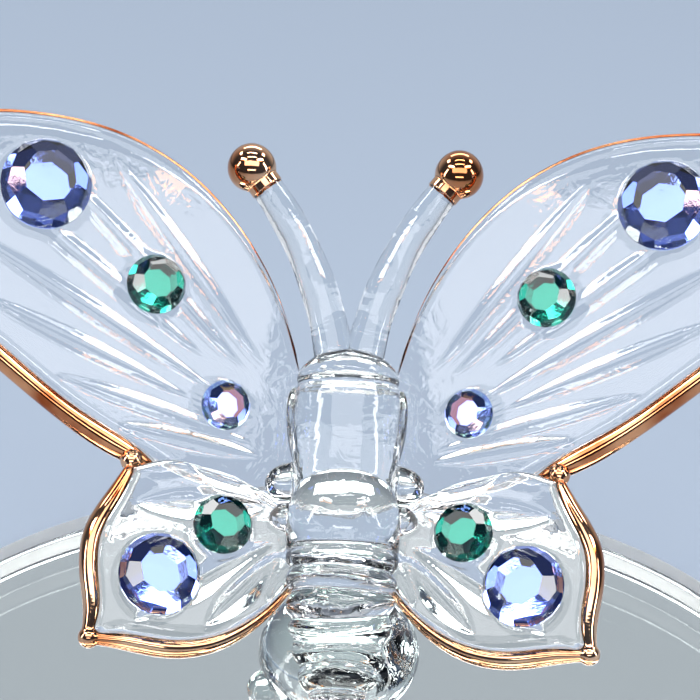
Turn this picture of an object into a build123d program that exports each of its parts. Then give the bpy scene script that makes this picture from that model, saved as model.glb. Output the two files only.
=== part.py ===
from build123d import *
from math import asin, cos, hypot, pi, radians, sin, sqrt
import os

# A lamp-worked glass butterfly on a round mirror base. Sizes are in millimetres.
# X runs across the wings, the viewer stands on the -Y side, and +Z is up.
# The origin is the middle of the felt pad's underside.
# The round glass pieces are faceted finely, like cut glass, so that they stay light to mesh.

# Mirror base
base_radius = 38.1
mirror_glass_thickness = 4.0
silvering_thickness = 0.2
felt_thickness = 0.8
edge_polish = 0.35
felt_margin = 2.0

# Foot: a flattened ball of glass, steadied by three small beads
ball_radius = 6.4
ball_height = 10.3
contact_depth = 0.08
bead_radius = 1.6
bead_circle_radius = 5.65
bead_directions = {"left": 180, "front": 300, "back": 60}

# Body line: the line that the thorax is turned on, leaning back from the tail to the head
body_tilt = 55
body_start_y = -9.5
body_start_height = 4.0

# Thorax and head, one barrel of glass
head_station = 29.7
head_dome_height = 3.0
thorax_radius = 4.15
thorax_waist_radius = 3.9
thorax_end_station = 13.4
thorax_end_height = 2.6

# Abdomen, a second gather fused to the back of the thorax
abdomen_offset = 1.6
lobe_radius = 4.5
lobe_station = 15.8
tail_radius = 4.0
tail_tip_station = 0.5
tail_taper_power = 2.2
rib_count = 7
rib_bulge = 0.38
rib_part_shares = (0.3, 0.7)

# Antennae
antenna_root_station = 28.0
antenna_root_spread = 1.0
antenna_setback = 1.2
antenna_length = 18.0
antenna_bend_radius = 30.0
antenna_root_angle = 7
antenna_root_diameter = 3.2
antenna_end_diameter = 2.5
antenna_tip_diameter = 3.9
antenna_collar_length = 2.6
lustre_thickness = 0.12

# Wings
wing_thickness = 1.6
wing_cup_radius = 140.0
cup_middle_shares = (0.5, 0.333)
wing_gather = 3.0
rim_thickness = 2.0
rim_bite_share = 0.72

forewing_span = 30.6
forewing_chord = 27.0
forewing_lean = 35
forewing_sweep = 15
forewing_station = 24.0
forewing_side = 3.5
forewing_rim_fine = 0.6
forewing_rim_broad = 2.2
forewing_flute_height = 0.6
forewing_flute_angles = (17.5, 24, 31.5, 38.5, 45.5, 53, 60.5)

hindwing_span = 18.4
hindwing_chord = 15.6
hindwing_lean = 42
hindwing_sweep = 17
hindwing_station = 14.8
hindwing_side = 3.5
hindwing_dorsal = 1.8
hindwing_rim_fine = 1.2
hindwing_rim_broad = 1.9
hindwing_flute_height = 0.7
hindwing_flute_angles = (-62, -42.5, -23, -3.5, 15, 33)
tip_drop_radius = 1.05
notch_drop_radius = 1.45

# Flat-backed stones
large_stone = 7.2
middle_stone = 6.4
green_stone = 4.7
small_stone = 3.9
foil_thickness = 0.1
glue_thickness = 0.15

# Flat facets that stand for a curve
ball_side_count = 32
ball_band_count = 12
bead_side_count = 14
bead_band_count = 7
body_side_count = 28
dome_band_count = 5
rod_side_count = 14
rod_band_count = 6
rim_facet_count = 5
drop_band_count = 3
flat_within = 0.0000001

# Outlines, each point as shares of the wing's span and chord, with the rim's breadth there
forewing_outline_shares = [
    (-0.02, 0.14, 0.0),
    (0.015, 0.365, 0.0),
    (0.085, 0.560, 0.0),
    (0.216, 0.762, 0.0),
    (0.405, 0.909, 0.0),
    (0.610, 0.980, 0.0),
    (0.800, 0.990, 0.10),
    (0.935, 0.915, 0.35),
    (0.995, 0.765, 0.65),
    (0.985, 0.590, 0.90),
    (0.905, 0.400, 1.0),
    (0.776, 0.230, 1.0),
    (0.627, 0.060, 1.0),
    (0.455, -0.085, 0.85),
]
forewing_root_shares = [(0.30, -0.150), (0.13, -0.215), (-0.04, -0.215)]
forewing_fan_shares = (-0.075, -0.165)
forewing_fan_angles = (-9, 93)

hindwing_outer_shares = [
    (0.685, 0.455, 0.35),
    (0.782, 0.332, 0.8),
    (0.903, 0.162, 1.0),
    (0.958, -0.090, 1.0),
    (0.964, -0.260, 0.8),
    (0.995, -0.415, 0.2),
]
hindwing_lower_shares = [
    (0.995, -0.415, 0.2),
    (0.830, -0.475, 0.8),
    (0.640, -0.545, 1.0),
    (0.430, -0.545, 1.0),
    (0.240, -0.455, 0.8),
    (0.095, -0.325, 0.3),
    (0.020, -0.235, 0.0),
]
hindwing_root_shares = [
    (-0.03, -0.02),
    (0.05, 0.165),
    (0.14, 0.25),
    (0.25, 0.335),
    (0.38, 0.40),
    (0.50, 0.445),
]
hindwing_fan_shares = (-0.14, 0.05)
hindwing_fan_angles = (-68, 42)

# How strongly a wing is fluted from its root to its edge, at rings evenly spaced along the fan
flute_strength_shares = (0.1, 0.5, 0.9, 1.0, 0.85, 0.55, 0.3)

# Places of the stones as shares of span and chord
large_stone_shares = (0.605, 0.744)
forewing_green_shares = (0.351, 0.424)
small_stone_shares = (0.203, 0.057)
hindwing_green_shares = (0.337, 0.067)
middle_stone_shares = (0.641, -0.147)

# A stone's cut, as shares of its diameter, and the slopes of its two rings of facets
stone_height_share = 0.39
girdle_share = 0.06
foil_radius_share = 0.47
stone_side_count = 16
break_slope = 21
main_slope = 42
main_reach_share = 0.625

mirror_top = felt_thickness + silvering_thickness + mirror_glass_thickness
body_start = (0, body_start_y, mirror_top + body_start_height)
body_line = (0, cos(radians(body_tilt)), sin(radians(body_tilt)))
body_plane = Plane(origin=body_start, x_dir=(1, 0, 0), z_dir=body_line)


def facet(points):
    """One flat face with the given corners."""
    return Face(Wire.make_polygon(points, close=True))


def is_flat(points):
    """Whether four corners lie in one plane."""
    across = (points[1] - points[0]).cross(points[2] - points[0])
    return abs(across.normalized().dot(points[3] - points[0])) < flat_within


def skin(rings):
    """A closed solid of flat facets stretched from ring to ring; a ring of one point is a pole."""
    count = max(len(ring) for ring in rings)
    faces = []
    for low, high in zip(rings, rings[1:]):
        for index in range(count):
            after = (index + 1) % count
            if len(low) == 1:
                faces.append(facet([low[0], high[after], high[index]]))
            elif len(high) == 1:
                faces.append(facet([low[index], low[after], high[0]]))
            else:
                corners = [low[index], low[after], high[after], high[index]]
                if is_flat(corners):
                    faces.append(facet(corners))
                else:
                    faces.append(facet(corners[:3]))
                    faces.append(facet([corners[0], corners[2], corners[3]]))
    for ring in (rings[0], rings[-1]):
        if len(ring) > 1:
            faces.append(facet(ring))
    return Solid(Shell(faces))


def ring_in(plane, radius, sides):
    """The corners of a regular polygon in a plane, or the one point of a pole."""
    if radius == 0:
        return [plane.origin]
    turns = [2 * pi * side / sides for side in range(sides)]
    return [plane.from_local_coords(Vector(radius * cos(turn), radius * sin(turn), 0)) for turn in turns]


def turned(profile, sides):
    """A profile of (radius, height) points turned about the Z axis."""
    return skin([ring_in(Plane(origin=(0, 0, height)), radius, sides) for radius, height in profile])


def dome(radius, height, bands, base=0):
    """A quarter ellipse, from its widest point up to its pole."""
    turns = [pi / 2 * band / bands for band in range(bands + 1)]
    points = [(radius * cos(turn), base + height * sin(turn)) for turn in turns[:-1]]
    return points + [(0, base + height)]


def standing_ball(radius, height, sides, bands):
    """A ball that stands on a small flat at height zero."""
    half = height / 2
    start = -asin((half - contact_depth) / half)
    turns = [start + (pi / 2 - start) * band / bands for band in range(bands)]
    profile = [(radius * cos(turn), half - contact_depth + half * sin(turn)) for turn in turns]
    return turned(profile + [(0, height - contact_depth)], sides)


def round_plate(radius, thickness, bottom):
    """A disc that stands on the given height."""
    return Pos(0, 0, bottom) * Cylinder(radius, thickness, align=(Align.CENTER, Align.CENTER, Align.MIN))


def base_parts():
    """The felt pad, the silvered back and the thick glass of the mirror."""
    felt = round_plate(base_radius - felt_margin, felt_thickness, 0)
    silvering = round_plate(base_radius, silvering_thickness, felt_thickness)
    glass = round_plate(base_radius, mirror_glass_thickness, felt_thickness + silvering_thickness)
    top_edge = glass.edges().filter_by(GeomType.CIRCLE).sort_by(Axis.Z)[-1]
    return felt, silvering, chamfer(top_edge, edge_polish)


def foot_ball():
    """The flattened ball under the body."""
    return Pos(0, 0, mirror_top) * standing_ball(ball_radius, ball_height, ball_side_count, ball_band_count)


def foot_bead(direction, ball):
    """A small bead that stands on the mirror and is fused to the ball."""
    angle = radians(direction)
    place = Pos(bead_circle_radius * cos(angle), bead_circle_radius * sin(angle), mirror_top)
    return place * standing_ball(bead_radius, 2 * bead_radius, bead_side_count, bead_band_count) - ball


def thorax():
    """A barrel with a domed head and a rounded lower end."""
    top = head_station - head_dome_height
    bottom = thorax_end_station + thorax_end_height
    lower = dome(thorax_waist_radius, -thorax_end_height, dome_band_count, bottom)
    profile = lower[::-1] + dome(thorax_radius, head_dome_height, dome_band_count, top)
    return body_plane * turned(profile, body_side_count)


def tail_radius_at(station, top):
    """The tail's envelope, a quarter of a full oval that closes at the tip."""
    share = (top - station) / (top - tail_tip_station)
    return tail_radius * sqrt(1 - share**tail_taper_power)


def abdomen():
    """A round lobe and a ribbed tail, turned on a line behind the thorax."""
    top = lobe_station - sqrt(lobe_radius**2 - tail_radius**2)
    crease_turn = asin((lobe_station - top) / lobe_radius)
    pitch = (top - tail_tip_station) / rib_count
    lobe = dome(lobe_radius, lobe_radius, dome_band_count, lobe_station)[::-1]
    lobe.append((lobe_radius * cos(crease_turn / 2), lobe_station - lobe_radius * sin(crease_turn / 2)))
    profile = lobe
    for rib in range(rib_count):
        high = top - rib * pitch
        profile.append((tail_radius_at(high, top), high))
        for part in rib_part_shares:
            station = high - part * pitch
            profile.append((tail_radius_at(station, top) + rib_bulge, station))
    profile.append((0, tail_tip_station))
    return body_plane * Pos(0, -abdomen_offset, 0) * turned(profile[::-1], body_side_count)


def antenna_plane(along):
    """The plane across the right antenna, whose middle line is an arc that bends outwards."""
    start = radians(antenna_root_angle)
    turn = start + along / antenna_bend_radius
    spread = antenna_root_spread + antenna_bend_radius * (cos(start) - cos(turn))
    station = antenna_root_station + antenna_bend_radius * (sin(turn) - sin(start))
    return Plane(origin=(spread, antenna_setback, station), x_dir=(0, 1, 0), z_dir=(sin(turn), 0, cos(turn)))


def antenna_rod():
    """A tapered rod of glass."""
    rings = []
    for band in range(rod_band_count + 1):
        share = band / rod_band_count
        diameter = antenna_root_diameter + share * (antenna_end_diameter - antenna_root_diameter)
        rings.append(ring_in(antenna_plane(share * antenna_length), diameter / 2, rod_side_count))
    return body_plane * skin(rings)


def antenna_tip():
    """A gilt ball whose lustre runs back down the rod as a collar."""
    radius = antenna_tip_diameter / 2
    collar = antenna_end_diameter / 2 + lustre_thickness
    start = asin(collar / radius) - pi / 2
    steps = 2 * dome_band_count
    profile = [(collar, -antenna_collar_length)]
    for step in range(steps):
        turn = start + (pi / 2 - start) * step / steps
        profile.append((radius * cos(turn), radius * sin(turn)))
    profile.append((0, radius))
    return body_plane * antenna_plane(antenna_length) * turned(profile, rod_side_count)


def wing_plane(lean, sweep, station, side, dorsal):
    """The plane of the right wing: its x runs out, its y up, and its z towards the viewer."""
    lean_angle = radians(lean)
    sweep_angle = radians(sweep)
    out = (cos(sweep_angle), -sin(sweep_angle), 0)
    facing = (-sin(sweep_angle) * cos(lean_angle), -cos(sweep_angle) * cos(lean_angle), sin(lean_angle))
    root = body_plane.from_local_coords(Vector(side, -dorsal, station))
    return Plane(origin=root, x_dir=out, z_dir=facing)


class Wing:
    """One right-hand wing in its own plane: a fluted sheet, its rim and its stones' seats."""

    def __init__(self, span, chord, plane, rim_breadths, fan, flutes):
        self.span = span
        self.chord = chord
        self.middle_x = cup_middle_shares[0] * span
        self.middle_y = cup_middle_shares[1] * chord
        self.plane = plane
        self.rim_fine, self.rim_broad = rim_breadths
        self.fan_x = fan[0][0] * span
        self.fan_y = fan[0][1] * chord
        self.flute_angles, self.flute_height = flutes
        self.lines = self.fan_lines(*fan[1])
        self.reach = hypot(span, chord) + wing_gather

    def fan_lines(self, low, high):
        """The fan's lines as pairs of angle and swell: ridges, valleys halfway between, and plain margins."""
        ridges = self.flute_angles
        inner = [(ridges[0] + low) / 2, *ridges, (ridges[-1] + high) / 2]
        lines = [(low, 0)]
        for index, angle in enumerate(inner):
            plain = index in (0, len(inner) - 1)
            lines.append((angle, 0 if plain else 0.5))
            if 0 < index < len(inner) - 2:
                lines.append(((angle + inner[index + 1]) / 2, -0.5))
        lines.append((high, 0))
        return lines

    def cup(self, x, y):
        """Height of the sheet's middle surface, a dome towards the viewer."""
        distance = hypot(x - self.middle_x, y - self.middle_y)
        return sqrt(wing_cup_radius**2 - distance**2) - wing_cup_radius

    def stations(self, outline_shares, count):
        """Points along the outline, each with its direction, its inward side and the rim's breadth."""
        curve = Spline(*[Vector(s * self.span, c * self.chord, 0) for s, c, share in outline_shares])
        growth = self.rim_broad - self.rim_fine
        breadths = [self.rim_fine + share * growth for s, c, share in outline_shares]
        last = len(breadths) - 1
        result = []
        for index in range(count):
            place = index / (count - 1)
            along = curve.tangent_at(place)
            slot = min(int(place * last), last - 1)
            part = place * last - slot
            breadth = breadths[slot] + part * (breadths[slot + 1] - breadths[slot])
            result.append((curve.position_at(place), along, Vector(along.Y, -along.X, 0), breadth))
        return result

    def rim(self, stations):
        """A bead of half oval section whose flat back meets the sheet."""
        rings = []
        for at, along, inward, breadth in stations:
            ring = []
            for corner in range(rim_facet_count + 1):
                turn = pi * corner / rim_facet_count
                flat = at + inward * (breadth * (1 - sin(turn)))
                ring.append(Vector(flat.X, flat.Y, self.cup(flat.X, flat.Y) + rim_thickness / 2 * cos(turn)))
            rings.append(ring)
        return skin(rings)

    def edge_points(self, stations):
        """Where the sheet's edge lies inside its rim, nearer the rim's back than its front."""
        return [at + inward * (rim_bite_share * breadth) for at, along, inward, breadth in stations]

    def fan_point(self, ring, line, side):
        """A point of the fluted sheet, whose front and back are pressed alike."""
        last = len(flute_strength_shares) - 1
        reach = wing_gather + (self.reach - wing_gather) * ring / last
        angle, ridge = self.lines[line]
        x = self.fan_x + reach * cos(radians(angle))
        y = self.fan_y + reach * sin(radians(angle))
        swell = ridge * self.flute_height * flute_strength_shares[ring]
        if side < 0:
            swell = -swell
        return Vector(x, y, self.cup(x, y) + side * wing_thickness / 2 + side * swell / 2)

    def fluted_slab(self):
        """The fan of flutes pressed into the hot sheet, front and back, larger than the wing."""
        rings = range(len(flute_strength_shares))
        sections = []
        for line in range(len(self.lines)):
            front = [self.fan_point(ring, line, 1) for ring in rings]
            back = [self.fan_point(ring, line, -1) for ring in rings]
            sections.append(front + back[::-1])
        return skin(sections)

    def sheet(self, points):
        """The outline cut from the fluted slab."""
        depth = self.span
        prism = Pos(0, 0, -depth) * extrude(facet(points), 2 * depth, dir=(0, 0, 1))
        return prism & self.fluted_slab()

    def drop(self, at, radius):
        """A small ball of glass at a corner of the rim."""
        half = dome(radius, radius, drop_band_count)
        profile = [(across, -up) for across, up in half[::-1]] + half[1:]
        return Pos(at.X, at.Y, self.cup(at.X, at.Y)) * turned(profile, rod_side_count)

    def seat(self, shares):
        """The plane that touches the sheet's front at a stone's middle."""
        x = shares[0] * self.span
        y = shares[1] * self.chord
        cup_centre = Vector(self.middle_x, self.middle_y, -wing_cup_radius)
        facing = (Vector(x, y, self.cup(x, y)) - cup_centre).normalized()
        height = self.cup(x, y) + wing_thickness / 2 + self.flute_height / 4
        return Plane(origin=(x, y, height), x_dir=(1, 0, 0), z_dir=facing)


forewing = Wing(
    forewing_span,
    forewing_chord,
    wing_plane(forewing_lean, forewing_sweep, forewing_station, forewing_side, 0),
    (forewing_rim_fine, forewing_rim_broad),
    (forewing_fan_shares, forewing_fan_angles),
    (forewing_flute_angles, forewing_flute_height),
)
hindwing = Wing(
    hindwing_span,
    hindwing_chord,
    wing_plane(hindwing_lean, hindwing_sweep, hindwing_station, hindwing_side, hindwing_dorsal),
    (hindwing_rim_fine, hindwing_rim_broad),
    (hindwing_fan_shares, hindwing_fan_angles),
    (hindwing_flute_angles, hindwing_flute_height),
)


def forewing_solids():
    """The forewing's glass sheet and its gilt rim, before anything is seated."""
    stations = forewing.stations(forewing_outline_shares, 20)
    root = [Vector(s * forewing_span, c * forewing_chord, 0) for s, c in forewing_root_shares]
    return forewing.sheet(forewing.edge_points(stations) + root), forewing.rim(stations)


def hindwing_solids():
    """The hindwing's glass sheet and its gilt rim, two beads that meet in a drop at the tip."""
    outer = hindwing.stations(hindwing_outer_shares, 9)
    lower = hindwing.stations(hindwing_lower_shares, 10)
    root = [Vector(s * hindwing_span, c * hindwing_chord, 0) for s, c in hindwing_root_shares]
    tip = outer[-1][0]
    inside = (lower[0][1] - outer[-1][1]).normalized()
    corner = tip + inside * (tip_drop_radius / 2)
    edge = hindwing.edge_points(outer)[:-1] + [corner] + hindwing.edge_points(lower)[1:]
    notch = outer[0][0] + outer[0][2] * (outer[0][3] / 2)
    drops = hindwing.drop(tip, tip_drop_radius) + hindwing.drop(notch, notch_drop_radius)
    rim = hindwing.rim(outer) + hindwing.rim(lower) + drops
    return hindwing.sheet(edge + root), rim


def stone(diameter):
    """A flat-backed stone: a girdle, a ring of break facets and a ring of main facets."""
    radius = diameter / 2
    height = diameter * stone_height_share
    girdle = diameter * girdle_share
    outline = RegularPolygon(radius, stone_side_count)
    blank = extrude(outline, girdle)
    blank += Pos(0, 0, girdle) * extrude(outline, height - girdle, taper=break_slope)
    octagon = RegularPolygon(diameter * main_reach_share, stone_side_count // 2, major_radius=False)
    return blank & Rot(0, 0, 360 / stone_side_count) * extrude(octagon, height, taper=main_slope)


def stone_set(diameter, seat):
    """A stone, its foil and the glue under it, before the glue is cut by the sheet."""
    foil_shape = RegularPolygon(diameter * foil_radius_share, stone_side_count)
    gem = seat * Pos(0, 0, glue_thickness + foil_thickness) * stone(diameter)
    foil = seat * Pos(0, 0, glue_thickness) * extrude(foil_shape, foil_thickness)
    glue = seat * Pos(0, 0, -wing_thickness) * extrude(foil_shape, wing_thickness + glue_thickness)
    return gem, foil, glue


def whole(shape):
    """The one large solid of a cut shape, without the crumbs of the cut."""
    return max(shape.solids(), key=lambda solid: solid.volume)


def save(name, shape):
    """Write one node's STEP file."""
    export_step(shape, f"parts/{name}.step")


def save_pair(name, right):
    """Write a right-hand piece and its mirror image."""
    save(f"{name}_right", right)
    save(f"{name}_left", mirror(right, Plane.YZ))


def main():
    os.makedirs("parts", exist_ok=True)
    felt, silvering, glass = base_parts()
    save("felt_pad", felt)
    save("mirror_silvering", silvering)
    save("mirror_glass", glass)

    ball = foot_ball()
    save("foot_ball", ball)
    for name, direction in bead_directions.items():
        save(f"foot_bead_{name}", foot_bead(direction, ball))

    back = abdomen() - ball
    chest = thorax() - back - ball
    save("abdomen", back)
    save("thorax", chest)

    tip = antenna_tip()
    save_pair("antenna", split(antenna_rod() - tip - chest, Plane.YZ))
    save_pair("antenna_tip", tip)

    hind_sheet, hind_rim = hindwing_solids()
    fore_sheet, fore_rim = forewing_solids()
    hind_rim = whole(hindwing.plane * hind_rim - back - chest)
    hind_sheet = whole(hindwing.plane * hind_sheet - hind_rim - back - chest)
    fore_rim = whole(forewing.plane * fore_rim - chest - hind_rim - hind_sheet)
    fore_sheet = whole(forewing.plane * fore_sheet - fore_rim - chest - back - hind_rim - hind_sheet)
    save_pair("hindwing_rim", hind_rim)
    save_pair("hindwing", hind_sheet)
    save_pair("forewing_rim", fore_rim)
    save_pair("forewing", fore_sheet)

    foils = []
    glues = []
    stones = [
        ("stone_blue_large", large_stone, forewing, large_stone_shares, fore_sheet),
        ("stone_green_upper", green_stone, forewing, forewing_green_shares, fore_sheet),
        ("stone_blue_small", small_stone, forewing, small_stone_shares, fore_sheet),
        ("stone_green_lower", green_stone, hindwing, hindwing_green_shares, hind_sheet),
        ("stone_blue_middle", middle_stone, hindwing, middle_stone_shares, hind_sheet),
    ]
    for name, diameter, wing, shares, sheet in stones:
        gem, foil, glue = stone_set(diameter, wing.plane * wing.seat(shares))
        save_pair(name, gem)
        foils += [foil, mirror(foil, Plane.YZ)]
        glue = glue - sheet
        glues += [glue, mirror(glue, Plane.YZ)]
    save("stone_foils", Compound(children=[piece.solid() for piece in foils]))
    save("stone_glue", Compound(children=[piece.solid() for piece in glues]))


main()
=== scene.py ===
import bmesh
import bpy
import numpy as np
from mathutils import Matrix, Vector


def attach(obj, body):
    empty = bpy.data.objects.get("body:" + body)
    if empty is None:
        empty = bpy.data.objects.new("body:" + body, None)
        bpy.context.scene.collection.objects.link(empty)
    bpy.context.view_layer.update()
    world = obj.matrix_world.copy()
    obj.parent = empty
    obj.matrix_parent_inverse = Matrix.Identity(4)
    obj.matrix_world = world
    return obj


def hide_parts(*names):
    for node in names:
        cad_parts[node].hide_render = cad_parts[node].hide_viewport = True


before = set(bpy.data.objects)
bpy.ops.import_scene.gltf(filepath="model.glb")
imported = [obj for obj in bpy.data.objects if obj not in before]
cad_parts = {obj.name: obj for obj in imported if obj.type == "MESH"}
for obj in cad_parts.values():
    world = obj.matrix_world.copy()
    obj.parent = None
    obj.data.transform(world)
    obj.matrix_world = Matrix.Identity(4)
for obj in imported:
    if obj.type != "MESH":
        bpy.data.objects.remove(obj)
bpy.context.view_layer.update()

# A lamp-worked glass butterfly on a round mirror. Lengths are in millimetres until a mesh is made.
# X runs across the wings, the viewer stands on the -Y side, and +Z is up.

MM = 0.001

# Mirror base
base_radius = 38.1
mirror_top = 5.0
mirror_bottom = 1.03
edge_polish = 0.45
# The ground edge is where the glass faces up or down by less than this share
ground_upright = 0.3
# Both flat faces have a ring of points this far in, so that only the edge is shaded round
flat_from = 0.5

# Foot
ball_radius = 6.4
ball_height = 10.3
bead_radius = 1.6
bead_circle_radius = 5.65
bead_directions = (180, 300, 60)
contact_depth = 0.08

# Voxel, and rounds of smoothing, when skins are melted into one
glass_melt = (0.12, 4)
rim_melt = (0.08, 9)
melt_strength = 0.5
# Angle in radians by which a dome's last ring stops short of its pole
pole_angle = 0.02

# Rings that the round pieces have from end to end, and sides of the antenna's rod
dome_ring_count = 24
barrel_ring_count = 60
tail_ring_count = 180
lobe_ring_count = 60
gather_ring_count = 40
rod_ring_count = 90
rod_side_count = 40
tip_ring_count = 48
drop_ring_count = 24
polish_ring_count = 8

# Body line
body_tilt = 55
body_start = np.array([0, -9.5, mirror_top + 4.0])

# Thorax and head
head_station = 29.7
head_dome_height = 3.0
thorax_radius = 4.15
thorax_waist_radius = 3.9
thorax_end_station = 13.4
thorax_end_height = 2.6
thorax_swell = 0.2
neck_depth = 0.22
neck_breadth = 0.5

# Abdomen
abdomen_offset = 1.6
lobe_radius = 4.5
lobe_station = 15.8
tail_radius = 4.0
tail_tip_station = 0.5
tail_tip_gap = 0.02
tail_taper_power = 2.2
rib_count = 7
rib_bulge = 0.52
rib_roundness_power = 0.7
rib_fade = 8
rib_waver = 0.3
# Sines of the waver: size, times round the tail, turn per millimetre and start
waver_sines = [(1, 1, 0.9, 0), (0.7, 2, -0.7, 1)]

# Antennae
antenna_root_station = 28.0
antenna_root_spread = 1.0
antenna_setback = 1.2
antenna_length = 18.0
antenna_bend_radius = 30.0
antenna_root_angle = 7
antenna_root_diameter = 3.2
antenna_end_diameter = 2.5
# The rod's thickness wavers by this share, at so many radians per millimetre
antenna_waver_share = 0.02
antenna_waver_turn = 1.1
antenna_tip_diameter = 3.9
collar_length = 2.1
collar_ring_count = 12
lustre_thickness = 0.12

# Wings
wing_thickness = 1.6
wing_cup_radius = 140.0
rim_thickness = 2.0
cup_middle_shares = (0.5, 0.333)
rim_bite_share = 0.72
margin_roll = 0.42
margin_breadth = 2.8
# A bead is as deep as its breadth times this share, up to the rim's thickness, and its ends are round
rim_depth_share = 1.35
rim_end_ring_count = 6
rim_end_least = 0.004
# A sheet's first and last rulings stop short of the border's ends, and its points crowd towards its edge
sheet_end_share = 0.004
edge_crowding_power = 1.4
back_press_share = 0.5

forewing_span = 30.6
forewing_chord = 27.0
forewing_lean = 35
forewing_sweep = 15
forewing_station = 24.0
forewing_side = 3.5
forewing_rims = (0.34, 1.8)

hindwing_span = 18.4
hindwing_chord = 15.6
hindwing_lean = 42
hindwing_sweep = 17
hindwing_station = 14.8
hindwing_side = 3.5
hindwing_dorsal = 1.8
hindwing_rims = (0.55, 1.55)
tip_drop_radius = 0.86
notch_drop_radius = 0.9
drop_latitude = 1.5

# Points along the outlines, and how many of them lie between a corner and its drop or the sheet's own corner
forewing_point_count = 400
hindwing_point_count = 200
forewing_root_point_count = 60
hindwing_upper_point_count = 80
tip_drop_inset = 8
tip_corner_inset = 14
notch_drop_inset = 14

forewing_outline_shares = [
    (-0.02, 0.14, 0.0),
    (0.015, 0.365, 0.0),
    (0.085, 0.560, 0.0),
    (0.216, 0.762, 0.0),
    (0.405, 0.909, 0.0),
    (0.610, 0.980, 0.0),
    (0.800, 0.990, 0.10),
    (0.935, 0.915, 0.35),
    (0.995, 0.765, 0.65),
    (0.985, 0.590, 0.90),
    (0.905, 0.400, 1.0),
    (0.776, 0.230, 1.0),
    (0.627, 0.060, 1.0),
    (0.455, -0.085, 0.85),
    (0.385, -0.118, 0.15),
]
forewing_root_shares = [(0.30, -0.150), (0.13, -0.215), (-0.04, -0.215)]
hindwing_outer_shares = [
    (0.685, 0.455, 0.35),
    (0.782, 0.332, 0.8),
    (0.903, 0.162, 1.0),
    (0.958, -0.090, 1.0),
    (0.964, -0.260, 0.8),
    (0.995, -0.415, 0.2),
]
hindwing_lower_shares = [
    (0.995, -0.415, 0.2),
    (0.830, -0.475, 0.8),
    (0.640, -0.545, 1.0),
    (0.430, -0.545, 0.85),
    (0.240, -0.455, 0.5),
    (0.095, -0.325, 0.15),
    (0.020, -0.235, 0.0),
]
hindwing_upper_shares = [
    (-0.03, -0.02), (0.05, 0.165), (0.14, 0.25), (0.25, 0.335), (0.38, 0.40), (0.50, 0.445),
]

# Flutes pressed into the hot sheets: direction in degrees about the fan's centre, and start and end as
# shares of the way to the wing's edge
fan_centre_shares = (-0.075, -0.165)
forewing_flutes = [
    (17.5, 0.33, 0.86), (24.0, 0.28, 0.88), (31.5, 0.38, 0.87), (38.5, 0.30, 0.84),
    (45.5, 0.34, 0.87), (53.0, 0.30, 0.84), (60.5, 0.33, 0.86),
]
forewing_flute_breadth = 1.7
forewing_flute_height = 0.17
forewing_flute_power = 0.35
hind_fan_centre_shares = (-0.14, 0.10)
hindwing_flutes = [
    (-62.0, 0.36, 0.86), (-49.0, 0.30, 0.90), (-36.0, 0.34, 0.88), (-23.0, 0.28, 0.90), (-8.0, 0.30, 0.86),
    (8.0, 0.30, 0.90), (25.0, 0.40, 0.93),
]
hindwing_flute_breadth = 2.8
hindwing_flute_height = 0.36
hindwing_flute_power = 0.4
flute_point_power = 0.7
leaf_least_half = 1e-6
leaf_rib_share = 0.35
leaf_rib_fineness = 4
ridge_softness = 0.05

# Stones
large_stone = 7.2
middle_stone = 6.4
green_stone = 4.7
small_stone = 3.9
stone_height_share = 0.39
girdle_share = 0.06
break_count = 16
break_taper = 21
main_count = 8
main_taper = 42
main_reach_share = 0.625
hollow_share = 0.004
glue_thickness = 0.15
foil_thickness = 0.1
seat_rise = 0.1875
# The relief is level up to this share of a stone's radius, and back at its own height after the second share
seat_level_share = 0.85
seat_fade_share = 0.25
cut_tolerance = 1e-5
flat_angle = 0.001
# A face is the blank's back, or carries foil, where its normal points down by more than this
back_downward = -0.9
foil_downward = -0.6
# Node name, wing, width, place as shares of span and chord, and look
stone_places = [
    ("stone_blue_large", "forewing", large_stone, (0.605, 0.744), "blue"),
    ("stone_green_upper", "forewing", green_stone, (0.351, 0.424), "green"),
    ("stone_blue_small", "forewing", small_stone, (0.203, 0.057), "iridescent"),
    ("stone_green_lower", "hindwing", green_stone, (0.337, 0.067), "green"),
    ("stone_blue_middle", "hindwing", middle_stone, (0.641, -0.147), "blue"),
]

# Glass: its slow waves and fine cords, how it bends light, and the film on the small stones
wave_detail = 1.0
cord_detail = 2.0
cord_fineness = 3.7
cord_distortion = 1.2
glass_bending = 1.5
stone_bending = 1.56
film_bending = 1.8
film_nanometres = 420

# Metal lustre: its patches' scale and detail, where thin turns to thick, and the roughness of thin and thick
patch_scale = 190
patch_detail = 3
patch_turn = (0.35, 0.62)
lustre_roughness = (0.10, 0.05)

# Felt: its gloss, and its fibres' scale, detail, two colours and depth
felt_roughness = 0.95
felt_sheen = 0.4
fibre_scale = 2400
fibre_detail = 6
fibre_colours = [(0.004, 0.004, 0.005), (0.03, 0.03, 0.034)]
fibre_depth = 0.1

# The floor, and a surround that is paler behind the ornament
floor_colour = (0.25, 0.31, 0.395)
floor_roughness = 0.6
floor_reach = 1500.0
surround_low = (0.05, 0.065, 0.10)
surround_high = (0.50, 0.53, 0.58)
surround_rise = (0.2, 0.85)

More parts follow.
